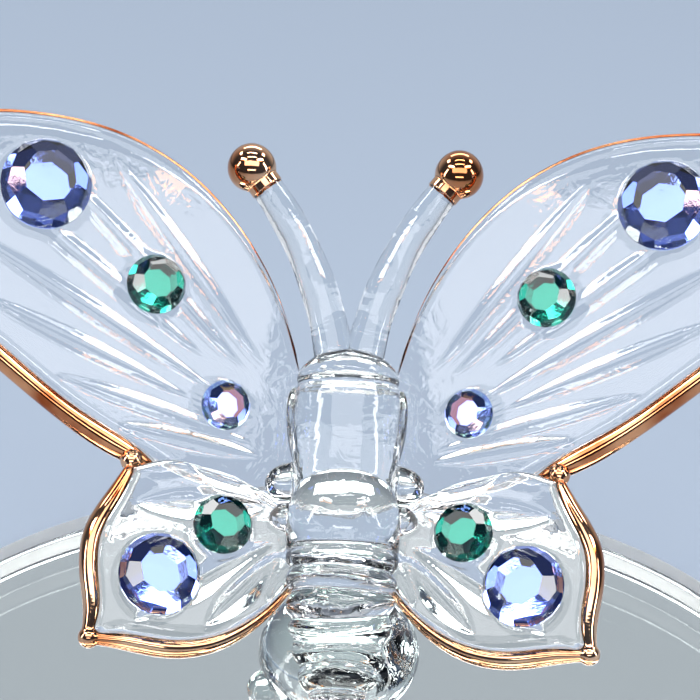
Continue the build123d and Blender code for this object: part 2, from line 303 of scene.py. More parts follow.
# Lamps: name, place, size and radiance; the side ones also have their length's direction and a colour
lamp_aim = (0, 0, 30)
white = (1, 1, 1)
amber = (1.0, 0.45, 0.16)
middle_lamps = [
    ("softbox_front", (0, -300, 378), (620, 190), 3.1),
    ("strip_low", (0, -420, 150), (300, 36), 9),
    ("strip_overhead", (0, 90, 480), (300, 18), 18),
    ("strip_top", (0, -85, 480), (300, 22), 16),
    ("backlight", (0, 420, 380), (460, 100), 6),
]
side_lamps = [
    ("side", (420, -110, 165), (50, 280), 12, (0, 1, 0), white),
    ("window", (300, 180, 370), (110, 80), 12, (0, 1, 0), white),
    ("strip", (254, -86, 383), (210, 56), 20, (0.23, 0.22, -0.11), white),
    ("warm", (250, -134, 370), (210, 13), 14, (0.23, 0.22, -0.11), amber),
]

# The camera looks down on the butterfly's back, at a point that lies above the target in its picture
camera_elevation = 26.5
camera_roll = 2.0
camera_distance = 430.0
camera_target = np.array([0.05, 0, mirror_top])
camera_rise = 28.64
camera_nearest = 10.0
frame_width = 56.0
sensor_width = 36.0


def unit(vector):
    """The direction of a vector."""
    return vector / np.linalg.norm(vector)


def turn(angle):
    """Cosine and sine of an angle in degrees."""
    return np.cos(np.radians(angle)), np.sin(np.radians(angle))


def eased(share):
    """A smooth step from zero to one: s squared times (3 - 2 s)."""
    return share * share * (3 - 2 * share)


def circle(count):
    """Angles evenly spaced round a circle."""
    return np.linspace(0, 2 * np.pi, count, endpoint=False)


def length_along(points):
    """Length of a path of points up to each of them."""
    return np.concatenate([[0], np.cumsum(np.linalg.norm(np.diff(points, axis=0), axis=1))])


class Place:
    """A local frame: an origin and its x, y and z directions."""

    def __init__(self, origin, out, facing):
        self.origin = np.asarray(origin, float)
        self.axes = np.array([out, np.cross(facing, out), facing], float)

    def world(self, points):
        """Origin plus each coordinate times its axis."""
        return self.origin + points @ self.axes

    def on(self, place):
        """This place, given within another place, in the world."""
        moved = Place(place.world(self.origin), (1, 0, 0), (0, 0, 1))
        moved.axes = self.axes @ place.axes
        return moved


tilt_cos, tilt_sin = turn(body_tilt)
body_place = Place(body_start, (1, 0, 0), (0, tilt_cos, tilt_sin))


def new_object(name, points, faces, smooth=True):
    """A mesh object from points in millimetres and a list of faces."""
    mesh = bpy.data.meshes.new(name)
    mesh.from_pydata((np.asarray(points) * MM).tolist(), [], faces)
    mesh.polygons.foreach_set("use_smooth", np.full(len(mesh.polygons), smooth))
    mesh.update()
    piece = bpy.data.objects.new(name, mesh)
    bpy.context.scene.collection.objects.link(piece)
    return piece


def closed_skin(rings):
    """Points and faces of rings joined by quads, and a fan of triangles to a pole in each end's middle."""
    rows, columns = rings.shape[:2]
    poles = [rings[0].mean(axis=0), rings[-1].mean(axis=0)]
    points = np.concatenate([rings.reshape(-1, 3), poles])
    here = np.arange(rows * columns).reshape(rows, columns)
    after = np.roll(here, -1, axis=1)
    quads = np.stack([here[:-1], after[:-1], after[1:], here[1:]], axis=-1).reshape(-1, 4)
    first = np.stack([after[0], here[0], np.full(columns, rows * columns)], axis=-1)
    last = np.stack([here[-1], after[-1], np.full(columns, rows * columns + 1)], axis=-1)
    return points, quads.tolist() + first.tolist() + last.tolist()


def closed_tube(name, rings, place=None):
    """A closed skin as a piece, its rings given in the world or in a place."""
    points, faces = closed_skin(rings)
    if place is not None:
        points = place.world(points)
    return new_object(name, points, faces)


def lathe(radii, heights, sides=96):
    """Rings about the z axis: x = r cos a, y = r sin a, z = h."""
    angle = circle(sides)
    radii = np.asarray(radii)[:, None]
    heights = np.broadcast_to(np.asarray(heights)[:, None], (len(radii), sides))
    return np.stack([radii * np.cos(angle), radii * np.sin(angle), heights], axis=-1)


def mirrored(piece, name):
    """The left-hand twin of a right-hand piece: x turns to minus x, and the faces turn round."""
    twin = piece.copy()
    twin.data = piece.data.copy()
    twin.name = twin.data.name = name
    count = len(twin.data.vertices)
    points = np.empty(count * 3)
    twin.data.vertices.foreach_get("co", points)
    points = points.reshape(-1, 3) * (-1, 1, 1)
    twin.data.vertices.foreach_set("co", points.ravel())
    twin.data.flip_normals()
    twin.data.update()
    bpy.context.scene.collection.objects.link(twin)
    return twin


def spline(knots, count):
    """A natural cubic through the knots by chord length, at evenly spaced chord lengths."""
    knots = np.asarray(knots, float)
    length = length_along(knots[:, :2])
    step = np.diff(length)
    system = np.eye(len(knots))
    bend = np.zeros_like(knots)
    slope = np.diff(knots, axis=0) / step[:, None]
    for index in range(1, len(knots) - 1):
        before, after = step[index - 1], step[index]
        system[index, index - 1 : index + 2] = before, 2 * (before + after), after
        bend[index] = 6 * (slope[index] - slope[index - 1])
    bend = np.linalg.solve(system, bend)
    at = np.linspace(0, length[-1], count)
    slot = np.clip(np.searchsorted(length, at, side="right") - 1, 0, len(step) - 1)
    gone, left, wide = at - length[slot], length[slot + 1] - at, step[slot]
    gone, left, wide = gone[:, None], left[:, None], wide[:, None]
    ends = knots[slot] * left / wide + knots[slot + 1] * gone / wide
    before = bend[slot] * (left**3 / wide - wide * left) / 6
    after = bend[slot + 1] * (gone**3 / wide - wide * gone) / 6
    return ends + (before + after)


def wing_place(lean, sweep, station, side, dorsal):
    """The right wing's plane: x out, y up, and z towards the viewer, swept back and leaned by angles."""
    lean_cos, lean_sin = turn(lean)
    sweep_cos, sweep_sin = turn(sweep)
    root = body_place.world(np.array([side, -dorsal, station]))
    facing = (-sweep_sin * lean_cos, -sweep_cos * lean_cos, lean_sin)
    return Place(root, (sweep_cos, -sweep_sin, 0), facing)


class Wing:
    """One right-hand wing: its plane, its cup, its flutes and its outline."""

    def __init__(self, name, span, chord, place, rims, fan, flutes, flute_size):
        self.name = name
        self.scale = np.array([span, chord])
        self.place = place
        self.rims = rims
        self.fan = np.array(fan) * self.scale
        self.flutes = flutes
        self.breadth, self.height = flute_size

    def cup(self, flat):
        """Height of the middle surface: a ball of the cup's radius, touched at the wing's middle."""
        middle = self.scale * cup_middle_shares
        away = np.linalg.norm(flat - middle, axis=-1)
        return np.sqrt(wing_cup_radius**2 - away**2) - wing_cup_radius

    def edge(self, shares, count):
        """The outline's points, with the rim's breadth at each."""
        knots = np.array(shares, float)
        knots[:, :2] *= self.scale
        knots[:, 2] = self.rims[0] + knots[:, 2] * (self.rims[1] - self.rims[0])
        return spline(knots, count)

    def inward(self, flat):
        """The outline's direction turned a quarter turn towards the wing."""
        along = np.gradient(flat, axis=0)
        along /= np.linalg.norm(along, axis=1)[:, None]
        return np.stack([along[:, 1], -along[:, 0]], axis=-1)

    def inner_edge(self, line):
        """Where the sheet's edge lies inside its rim."""
        return line[:, :2] + self.inward(line[:, :2]) * (rim_bite_share * line[:, 2:])

    def rim(self, shares, count=160, sides=28):
        """Rings of a bead of oval section along the outline, drawn in to a round point at each end."""
        line = self.edge(shares, count)
        flat, breadth = line[:, :2], line[:, 2]
        inward = self.inward(flat)
        part = np.linspace(0, 1, count)
        from_end = np.clip(np.minimum(part, 1 - part) * count / rim_end_ring_count, 0, 1)
        ends = np.sqrt(np.clip(1 - (1 - from_end) ** 2, rim_end_least, 1))
        angle = circle(sides)
        half = (breadth * ends / 2)[:, None]
        deep = (np.minimum(rim_thickness, breadth * rim_depth_share) / 2 * ends)[:, None]
        middle = flat + inward * (breadth / 2)[:, None]
        across = middle[:, None, :] + inward[:, None, :] * (half * np.cos(angle))[..., None]
        height = self.cup(middle)[:, None] - margin_roll + deep * np.sin(angle)
        rings = np.concatenate([across, height[..., None]], axis=-1)
        return self.place.world(rings[:, ::-1])

    def rim_point(self, line, index):
        """The world's place of the bead's middle at one point of an outline."""
        middle = line[index, :2] + self.inward(line[:, :2])[index] * (line[index, 2] / 2)
        return self.place.world(np.array([*middle, self.cup(middle) - margin_roll]))


forewing = Wing(
    "forewing", forewing_span, forewing_chord,
    wing_place(forewing_lean, forewing_sweep, forewing_station, forewing_side, 0),
    forewing_rims, fan_centre_shares, forewing_flutes, (forewing_flute_breadth, forewing_flute_height),
)
hindwing = Wing(
    "hindwing", hindwing_span, hindwing_chord,
    wing_place(hindwing_lean, hindwing_sweep, hindwing_station, hindwing_side, hindwing_dorsal),
    hindwing_rims, hind_fan_centre_shares, hindwing_flutes, (hindwing_flute_breadth, hindwing_flute_height),
)
wings = {"forewing": forewing, "hindwing": hindwing}

# Gathers of clear glass where the wings were fused to the body: wing, place in its plane, and half lengths
root_gathers = [
    (forewing, (0.2, -0.9), (1.0, 3.6, 1.2)),
    (forewing, (1.1, -4.7), (2.3, 1.5, 1.4)),
    (hindwing, (0.3, 1.3), (1.9, 1.2, 1.3)),
    (hindwing, (0.1, -1.6), (1.1, 2.6, 1.2)),
]
gather_latitude = 1.55


def leaf(wing, flat, border, angle, start_share, end_share):
    """Place within a leaf on a ray of the fan: share of its length, and distance off its middle line."""
    reach = reach_at(wing, border, angle)
    near, far = start_share * reach, end_share * reach
    along_cos, along_sin = turn(angle)
    away = flat - wing.fan
    along = away @ (along_cos, along_sin)
    off = away @ (-along_sin, along_cos)
    part = np.clip((along - near) / (far - near), 0, 1)
    half = wing.breadth / 2 * np.sin(np.pi * part) ** flute_point_power + leaf_least_half
    return part, off / half


def hump(across):
    """One in the middle of a leaf and zero past its sides: (1 - q squared) squared."""
    return np.clip(1 - across**2, 0, 1) ** 2


def roof(across):
    """A ridge with straight flanks and rounded corners, about one at its top and near zero past its feet."""
    fall = 1 - np.sqrt(across**2 + ridge_softness)
    return (fall + np.sqrt(fall**2 + ridge_softness**2)) / 2 / (1 - np.sqrt(ridge_softness))


def stone_seats(wing):
    """Places and radii of the stones that sit on a wing."""
    return [(np.array(shares) * wing.scale, width / 2) for _, on, width, shares, _ in stone_places
            if wings[on] is wing]


def settled(wing, flat, relief):
    """The relief, levelled to the seats' height under each stone, fading out around it."""
    for middle, radius in stone_seats(wing):
        away = np.linalg.norm(flat - middle, axis=-1) / radius
        fade = eased(np.clip((away - seat_level_share) / seat_fade_share, 0, 1))
        relief = seat_rise + (relief - seat_rise) * fade
    return relief


def reach_at(wing, border, angle):
    """Distance from the fan's centre to the wing's edge along a ray, leaving out what lies behind it."""
    away = border - wing.fan
    direction = np.array(turn(angle))
    ahead = away @ direction
    off = np.abs(away @ (-direction[1], direction[0]))
    return ahead[np.argmin(np.where(ahead < 0, np.inf, off))]


def forewing_relief(wing, flat, border):
    """Narrow ridges along the fan's rays: a power of a half sine along each, times a roof across it."""
    relief = np.zeros(flat.shape[:-1])
    for flute in wing.flutes:
        part, across = leaf(wing, flat, border, *flute)
        relief += wing.height * np.sin(np.pi * part) ** forewing_flute_power * roof(across)
    return relief


def hindwing_relief(wing, flat, border):
    """Broad hollow leaves, the deeper one where two meet, each with a fine rib along its middle."""
    relief = np.zeros(flat.shape[:-1])
    ribs = np.zeros(flat.shape[:-1])
    for flute in wing.flutes:
        part, across = leaf(wing, flat, border, *flute)
        depth = wing.height * np.sin(np.pi * part) ** hindwing_flute_power
        relief = np.minimum(relief, -depth * roof(across))
        ribs += leaf_rib_share * wing.height * np.sin(np.pi * part) * hump(across * leaf_rib_fineness)
    return relief + ribs


def sheet(wing, name, border, relief, columns=260, rows=72):
    """A sheet ruled from the root line to the border: the cup's height, plus and minus half a thickness
    that ends as a quarter circle, plus the pressed relief. Rows run along each ruling."""
    share = np.linspace(sheet_end_share, 1 - sheet_end_share, columns)
    length = length_along(border)
    edge = np.stack([np.interp(share * length[-1], length, border[:, axis]) for axis in range(2)], axis=-1)
    root = border[0] + eased(share)[:, None] * (border[-1] - border[0])
    part = 1 - (1 - np.linspace(0, 1, rows)) ** edge_crowding_power
    flat = root[:, None, :] + part[None, :, None] * (edge - root)[:, None, :]
    to_edge = np.linalg.norm(edge[:, None, :] - flat, axis=-1)
    round_share = np.clip(to_edge / (wing_thickness / 2), 0, 1)
    half = wing_thickness / 2 * np.sqrt(1 - (1 - round_share) ** 2)
    press = settled(wing, flat, relief(wing, flat, border)) * round_share
    middle = wing.cup(flat) - margin_roll * np.clip(1 - to_edge / margin_breadth, 0, 1) ** 2
    front = np.concatenate([flat, (middle + half + press)[..., None]], axis=-1)
    back = np.concatenate([flat, (middle - half - back_press_share * press)[..., None]], axis=-1)
    loops = np.concatenate([front, back[:, -2::-1]], axis=1)
    return closed_tube(name, loops[:, ::-1], place=wing.place)


def drop(middle, radius):
    """Rings of a small ball: r cos t by r sin t about the upright through its middle."""
    angle = np.linspace(-drop_latitude, drop_latitude, drop_ring_count)
    return lathe(radius * np.cos(angle), radius * np.sin(angle), sides=32) + middle


def forewing_pieces():
    """The forewing's glass and rim."""
    inside = forewing.inner_edge(forewing.edge(forewing_outline_shares, forewing_point_count))
    root = np.array(forewing_root_shares) * forewing.scale
    lower = spline(np.concatenate([inside[-1:], root]), forewing_root_point_count)
    border = np.concatenate([inside, lower[1:]])
    glass = sheet(forewing, "forewing_glass_right", border, forewing_relief)
    rim = closed_tube("forewing_gilding_right", forewing.rim(forewing_outline_shares, count=260))
    return glass, rim


def hindwing_pieces():
    """The hindwing's glass, and its two rims melted into drops at the tip and at the notch."""
    outer = hindwing.edge(hindwing_outer_shares, hindwing_point_count)
    lower = hindwing.edge(hindwing_lower_shares, hindwing_point_count)
    outer_in, lower_in = hindwing.inner_edge(outer), hindwing.inner_edge(lower)
    root = np.array(hindwing_upper_shares) * hindwing.scale
    upper = spline(np.concatenate([root, outer_in[:1]]), hindwing_upper_point_count)
    border = np.concatenate([upper[:-1], outer_in[:-tip_corner_inset], lower_in[tip_corner_inset:]])
    glass = sheet(hindwing, "hindwing_glass_right", border, hindwing_relief, columns=220, rows=60)
    tip = (hindwing.rim_point(outer, -tip_drop_inset) + hindwing.rim_point(lower, tip_drop_inset)) / 2
    fore_line = forewing.edge(forewing_outline_shares, forewing_point_count)
    notch = (hindwing.rim_point(outer, 0) + forewing.rim_point(fore_line, -notch_drop_inset)) / 2
    rims = [hindwing.rim(hindwing_outer_shares), hindwing.rim(hindwing_lower_shares),
            drop(tip, tip_drop_radius), drop(notch, notch_drop_radius)]
    return glass, melted("hindwing_gilding_right", rims, *rim_melt)


def oval(radius, height, bottom, rings=48):
    """Radii and heights of a flattened ball that stands on a small flat."""
    half = height / 2
    angle = np.linspace(-np.arcsin(1 - contact_depth / half), np.pi / 2, rings)[:-1]
    return radius * np.cos(angle), bottom + half - contact_depth + half * np.sin(angle)


def thorax_profile():
    """A barrel swelled by half a sine, a quarter ellipse at each end, and a crease under the head's dome."""
    angle = np.linspace(pole_angle, np.pi / 2, dome_ring_count)
    low = thorax_end_station + thorax_end_height
    high = head_station - head_dome_height
    share = np.linspace(0, 1, barrel_ring_count)[1:-1]
    barrel = thorax_waist_radius + (thorax_radius - thorax_waist_radius) * share
    barrel += thorax_swell * np.sin(np.pi * share)
    radii = np.concatenate([thorax_waist_radius * np.sin(angle), barrel, thorax_radius * np.sin(angle[::-1])])
    heights = np.concatenate([low - thorax_end_height * np.cos(angle), low + (high - low) * share,
                              high + head_dome_height * np.cos(angle[::-1])])
    return radii - neck_depth * hump((heights - high) / neck_breadth), heights


def abdomen_profile():
    """A round lobe, and a tail whose ribs swell by half sine waves on a tapering envelope."""
    top = lobe_station - np.sqrt(lobe_radius**2 - tail_radius**2)
    pitch = (top - tail_tip_station) / rib_count
    heights = np.linspace(tail_tip_station + tail_tip_gap, top, tail_ring_count)[:-1]
    share = (top - heights) / (top - tail_tip_station)
    envelope = tail_radius * np.sqrt(1 - share**tail_taper_power)
    ribs = np.abs(np.sin(np.pi * (top - heights) / pitch)) ** rib_roundness_power
    radii = envelope + rib_bulge * ribs * np.clip((1 - share) * rib_fade, 0, 1)
    low = -np.arcsin((lobe_station - top) / lobe_radius)
    angle = np.linspace(low, np.pi / 2 - pole_angle / 2, lobe_ring_count)
    return (np.concatenate([radii, lobe_radius * np.cos(angle)]),
            np.concatenate([heights, lobe_station + lobe_radius * np.sin(angle)]))


def melted(name, parts, voxel, smoothing):
    """Closed skins melted into one: remeshed to a fine even grid, then smoothed so that the joints flow."""
    points, faces, start = [], [], 0
    for rings in parts:
        skin_points, skin_faces = closed_skin(rings)
        faces += [[start + corner for corner in face] for face in skin_faces]
        points.append(skin_points)
        start += len(skin_points)
    # The mesh's unit is the millimetre while it is melted
    rough = new_object(name + "_rough", np.concatenate(points) / MM, faces)
    remesh = rough.modifiers.new("melt", "REMESH")
    remesh.mode = "VOXEL"
    remesh.voxel_size = voxel
    smooth = rough.modifiers.new("flow", "SMOOTH")
    smooth.factor = melt_strength
    smooth.iterations = smoothing
    graph = bpy.context.evaluated_depsgraph_get()
    mesh = bpy.data.meshes.new_from_object(rough.evaluated_get(graph))
    mesh.name = name
    count = len(mesh.vertices)
    place = np.empty(count * 3)
    mesh.vertices.foreach_get("co", place)
    mesh.vertices.foreach_set("co", place * MM)
    mesh.polygons.foreach_set("use_smooth", np.full(len(mesh.polygons), True))
    mesh.update()
    piece = bpy.data.objects.new(name, mesh)
    bpy.context.scene.collection.objects.link(piece)
    bpy.data.objects.remove(rough)
    return piece


def glass_foot():
    """The ball and its three beads, melted together."""
    radii, heights = oval(ball_radius, ball_height, mirror_top)
    parts = [lathe(radii, heights)]
    for direction in bead_directions:
        across, up = turn(direction)
        radii, heights = oval(bead_radius, 2 * bead_radius, mirror_top, rings=24)
        parts.append(lathe(radii, heights, sides=48) + bead_circle_radius * np.array([across, up, 0]))
    return melted("glass_foot", parts, *glass_melt)


def wavering(rings):
    """Ribs squeezed by hand: their height wavers round the tail by slow sines, below the lobe only."""
    around = np.arctan2(rings[..., 1], rings[..., 0])
    height = rings[..., 2]
    held = np.clip((lobe_station - lobe_radius / 2 - height) / lobe_radius, 0, 1)
    held *= np.clip((height - tail_tip_station) / lobe_radius, 0, 1)
    waver = sum(size * np.sin(times * around + twist * height + start)
                for size, times, twist, start in waver_sines)
    rings[..., 2] += rib_waver * held * waver
    return rings


def glass_body():
    """The tail, lobe, thorax and head, which were drawn together in the flame."""
    radii, heights = thorax_profile()
    thorax = body_place.world(lathe(radii, heights))
    radii, heights = abdomen_profile()
    abdomen = body_place.world(wavering(lathe(radii, heights)) + (0, -abdomen_offset, 0))
    parts = [thorax, abdomen]
    for wing, middle, halves in root_gathers:
        angle = np.linspace(-gather_latitude, gather_latitude, gather_ring_count)
        ball = lathe(np.cos(angle), np.sin(angle)) * halves
        gather = wing.place.world(ball + (*middle, wing.cup(np.array(middle))))
        parts += [gather, gather * (-1, 1, 1)]
    return melted("glass_body", parts, *glass_melt)


def antenna_centre(along):
    """The right antenna's middle line, an arc that bends outwards, and its direction."""
    start = np.radians(antenna_root_angle)
    angle = start + along / antenna_bend_radius
    spread = antenna_root_spread + antenna_bend_radius * (np.cos(start) - np.cos(angle))
    station = antenna_root_station + antenna_bend_radius * (np.sin(angle) - np.sin(start))
    middle = np.stack([spread, np.full_like(spread, antenna_setback), station], axis=-1)
    return middle, np.stack([np.sin(angle), np.zeros_like(angle), np.cos(angle)], axis=-1)


def antenna_rod():
    """A circle carried along the arc, thinning evenly to its tip, with a slight waver of a sine."""
    along = np.linspace(0, antenna_length, rod_ring_count)
    middle, direction = antenna_centre(along)
    thinning = antenna_end_diameter - antenna_root_diameter
    radius = (antenna_root_diameter + thinning * along / antenna_length) / 2
    radius = radius * (1 + antenna_waver_share * np.sin(along * antenna_waver_turn))
    angle = circle(rod_side_count)
    side = np.cross((0, 1, 0), direction)
    ring = side[:, None, :] * np.cos(angle)[:, None] + np.array([0, 1, 0]) * np.sin(angle)[None, :, None]
    rings = middle[:, None, :] + radius[:, None, None] * ring
    return closed_tube("antenna_glass_right", rings, place=body_place)


def antenna_tip():
    """A gilt ball with a thin collar of lustre that runs a little down the rod, bent along the rod's arc."""
    ball = antenna_tip_diameter / 2
    rod = antenna_end_diameter / 2
    skin = rod + lustre_thickness
    join = np.arcsin(skin / ball) - np.pi / 2
    angle = np.linspace(join, np.pi / 2 - pole_angle, tip_ring_count)
    part = np.linspace(0, 1, collar_ring_count)
    # Reach is a share of the collar's length: down along the rod, back up outside it, and none on the ball
    radii = np.concatenate([[rod / 2], rod + 0 * part, skin + 0 * part, ball * np.cos(angle)])
    reach = np.concatenate([[0.5], 0.5 + part / 2, 1 - part, 0 * angle])
    heights = np.concatenate([np.full(1 + 2 * collar_ring_count, ball * np.sin(join)), ball * np.sin(angle)])
    rings = lathe(radii, heights, sides=64)
    rings[..., 2] += reach[:, None] * (-collar_length - ball * np.sin(join))
    middle, direction = antenna_centre(antenna_length + rings[..., 2])
    side = np.cross((0, 1, 0), direction)
    points = middle + side * rings[..., :1] + np.array([0, 1, 0]) * rings[..., 1:2]
    return closed_tube("antenna_gilding_right", points, place=body_place)


def seat_place(wing, shares):
    """The place that touches the sheet's front at a stone's middle, standing square to the cup there."""
    middle = np.array(shares) * wing.scale
    out = middle - wing.scale * cup_middle_shares
    facing = unit(np.array([*out, np.sqrt(wing_cup_radius**2 - out @ out)]))
    along = unit(np.cross((0, 1, 0), facing))
    height = wing.cup(middle) + wing_thickness / 2 + seat_rise
    return Place((*middle, height), along, facing).on(wing.place)


def stone(name, place, width, sides=48):
    """A round blank ground facet by facet: the break facets, then the main ones, which leave a table."""
    rise = glue_thickness + foil_thickness
    top = width * stone_height_share
    angle = circle(sides)
    ring = np.stack([width / 2 * np.cos(angle), width / 2 * np.sin(angle), np.zeros(sides)], axis=-1)
    cut = bmesh.new()
    low = [cut.verts.new(point) for point in ring]
    high = [cut.verts.new(point + (0, 0, top)) for point in ring]
    cut.faces.new(low[::-1])
    cut.faces.new(high)
    for index in range(sides):
        after = (index + 1) % sides
        cut.faces.new([low[index], low[after], high[after], high[index]])
    break_reach = width / 2 * np.cos(np.pi / break_count)
    breaks = [(360 * (k + 0.5) / break_count, break_taper, break_reach, width * girdle_share)
              for k in range(break_count)]
    mains = [(360 * k / main_count, main_taper, width * main_reach_share, 0) for k in range(main_count)]
    for azimuth, taper, reach, base in breaks + mains:
        across, up = turn(azimuth)
        lean_cos, lean_sin = turn(taper)
        facing = (lean_cos * across, lean_cos * up, lean_sin)
        parts = cut.verts[:] + cut.edges[:] + cut.faces[:]
        bmesh.ops.bisect_plane(cut, geom=parts, dist=cut_tolerance, plane_no=facing, clear_outer=True,
                               plane_co=(reach * across, reach * up, base))
        bmesh.ops.holes_fill(cut, edges=[edge for edge in cut.edges if edge.is_boundary])
    bmesh.ops.dissolve_limit(cut, angle_limit=flat_angle, verts=cut.verts, edges=cut.edges)
    bmesh.ops.recalc_face_normals(cut, faces=cut.faces)
    back = [face for face in cut.faces if face.normal.z < back_downward]
    hub = bmesh.ops.poke(cut, faces=back)["verts"][0]
    hub.co.z += width * hollow_share
    cut.normal_update()
    cut.verts.index_update()
    points = np.array([vertex.co for vertex in cut.verts]) + (0, 0, rise)
    faces = [[vertex.index for vertex in face.verts] for face in cut.faces]
    backs = [face.normal.z < foil_downward for face in cut.faces]
    cut.free()
    piece = new_object(name, place.world(points), faces, smooth=False)
    piece.data.polygons.foreach_set("material_index", np.array(backs, dtype=np.int32))
    return piece


def mirror_plate():
    """The mirror's glass: a flat disc whose edges are ground round by quarter circles."""
    angle = np.linspace(0, np.pi / 2, polish_ring_count)
    radii = np.append(base_radius - edge_polish * (1 - np.cos(angle)), base_radius - flat_from)
    fall = np.append(edge_polish * (1 - np.sin(angle)), 0)
    heights = np.concatenate([mirror_bottom + fall[::-1], mirror_top - fall])
    pane = closed_tube("mirror_pane", lathe(np.concatenate([radii[::-1], radii]), heights, sides=256))
    upright = [abs(face.normal.z) < ground_upright for face in pane.data.polygons]
    pane.data.polygons.foreach_set("material_index", np.array(upright, dtype=np.int32))
    return pane


def socket(shader, name, value):
    """Set a constant on the shader's own socket."""
    shader.inputs[name].default_value = value


def new_material(name):
    """A material with its node tree, its shader and its object coordinates."""
    material = bpy.data.materials.new(name)
    material.use_nodes = True
    shader = material.node_tree.nodes["Principled BSDF"]
    coordinates = material.node_tree.nodes.new("ShaderNodeTexCoord")
    return material, material.node_tree, shader, coordinates.outputs["Object"]


def wave_group():
    """Slow waves and fine cords in fire-polished glass, as a height."""
    tree = bpy.data.node_groups.new("glass_waves", "ShaderNodeTree")
    kinds = {"Vector": "NodeSocketVector", "Scale": "NodeSocketFloat", "Cords": "NodeSocketFloat"}
    for name, kind in kinds.items():
        tree.interface.new_socket(name, in_out="INPUT", socket_type=kind)
    tree.interface.new_socket("Height", in_out="OUTPUT", socket_type="NodeSocketFloat")
    start = tree.nodes.new("NodeGroupInput")
    end = tree.nodes.new("NodeGroupOutput")
    slow = tree.nodes.new("ShaderNodeTexNoise")
    slow.inputs["Detail"].default_value = wave_detail
    fine = tree.nodes.new("ShaderNodeTexNoise")
    fine.inputs["Detail"].default_value = cord_detail
    fine.inputs["Distortion"].default_value = cord_distortion
    faster = tree.nodes.new("ShaderNodeMath")
    faster.operation = "MULTIPLY"
    faster.inputs[1].default_value = cord_fineness
    mixed = tree.nodes.new("ShaderNodeMath")
    mixed.operation = "MULTIPLY_ADD"
    tree.links.new(start.outputs["Vector"], slow.inputs["Vector"])
    tree.links.new(start.outputs["Vector"], fine.inputs["Vector"])
    tree.links.new(start.outputs["Scale"], slow.inputs["Scale"])
    tree.links.new(start.outputs["Scale"], faster.inputs[0])
    tree.links.new(faster.outputs[0], fine.inputs["Scale"])
    tree.links.new(fine.outputs["Fac"], mixed.inputs[0])
    tree.links.new(start.outputs["Cords"], mixed.inputs[1])
    tree.links.new(slow.outputs["Fac"], mixed.inputs[2])
    tree.links.new(mixed.outputs[0], end.inputs["Height"])
    return tree


def noise(tree, coordinates, scale, detail):
    """A noise over the material's coordinates."""
    texture = tree.nodes.new("ShaderNodeTexNoise")
    texture.inputs["Scale"].default_value = scale
    texture.inputs["Detail"].default_value = detail
    tree.links.new(coordinates, texture.inputs["Vector"])
    return texture.outputs["Fac"]


def add_ramp(tree, shader, share, colours, turn_points=(0, 1)):
    """Base colour that turns from one colour to another between two values of a share."""
    ramp = tree.nodes.new("ShaderNodeValToRGB")
    for index in range(2):
        ramp.color_ramp.elements[index].position = turn_points[index]
        ramp.color_ramp.elements[index].color = (*colours[index], 1)
    tree.links.new(share, ramp.inputs["Fac"])
    tree.links.new(ramp.outputs["Color"], shader.inputs["Base Color"])


def add_bump(tree, shader, height, depth):
    """Bump from a height, as deep as a number of millimetres."""
    bump = tree.nodes.new("ShaderNodeBump")
    bump.inputs["Strength"].default_value = 1.0
    bump.inputs["Distance"].default_value = depth * MM
    tree.links.new(height, bump.inputs["Height"])
    tree.links.new(bump.outputs["Normal"], shader.inputs["Normal"])


def add_waves(tree, shader, coordinates, scale, cords, depth):
    """Bump from the wave group, in the material's own scale."""
    waves = tree.nodes.new("ShaderNodeGroup")
    waves.node_tree = glass_waves
    waves.inputs["Scale"].default_value = scale
    waves.inputs["Cords"].default_value = cords
    tree.links.new(coordinates, waves.inputs["Vector"])
    add_bump(tree, shader, waves.outputs["Height"], depth)


def clear_glass(name, colour, scale, cords, depth, roughness=0.0):
    """Clear glass, fire-polished unless it is given a roughness."""
    material, tree, shader, coordinates = new_material(name)
    socket(shader, "Base Color", (*colour, 1))
    socket(shader, "Roughness", roughness)
    socket(shader, "IOR", glass_bending)
    socket(shader, "Transmission Weight", 1.0)
    add_waves(tree, shader, coordinates, scale, cords, depth)
    return material


def gold_lustre(name, deep, bright):
    """Bright metal lustre fired on glass, deeper in colour where it lies thin."""
    material, tree, shader, coordinates = new_material(name)
    socket(shader, "Metallic", 1.0)
    add_waves(tree, shader, coordinates, scale=200, cords=0.3, depth=0.03)
    patches = noise(tree, coordinates, patch_scale, patch_detail)
    add_ramp(tree, shader, patches, (deep, bright), patch_turn)
    rough = tree.nodes.new("ShaderNodeMapRange")
    rough.inputs["To Min"].default_value, rough.inputs["To Max"].default_value = lustre_roughness
    tree.links.new(patches, rough.inputs["Value"])
    tree.links.new(rough.outputs["Result"], shader.inputs["Roughness"])
    return material


def stone_glass(name, colour, film=0):
    """Cut and polished coloured glass, with a thin film on the iridescent ones."""
    material, tree, shader, coordinates = new_material(name)
    socket(shader, "Base Color", (*colour, 1))
    socket(shader, "Roughness", 0.0)
    socket(shader, "IOR", stone_bending)
    socket(shader, "Transmission Weight", 1.0)
    socket(shader, "Thin Film Thickness", film)
    socket(shader, "Thin Film IOR", film_bending)
    add_waves(tree, shader, coordinates, scale=900, cords=0.2, depth=0.002)
    return material


def bright_foil(name, colour, roughness, depth):
    """Bright metal: the stones' foil backs, or the mirror's silvering."""
    material, tree, shader, coordinates = new_material(name)
    socket(shader, "Base Color", (*colour, 1))
    socket(shader, "Metallic", 1.0)
    socket(shader, "Roughness", roughness)
    add_waves(tree, shader, coordinates, scale=700, cords=0.6, depth=depth)
    return material


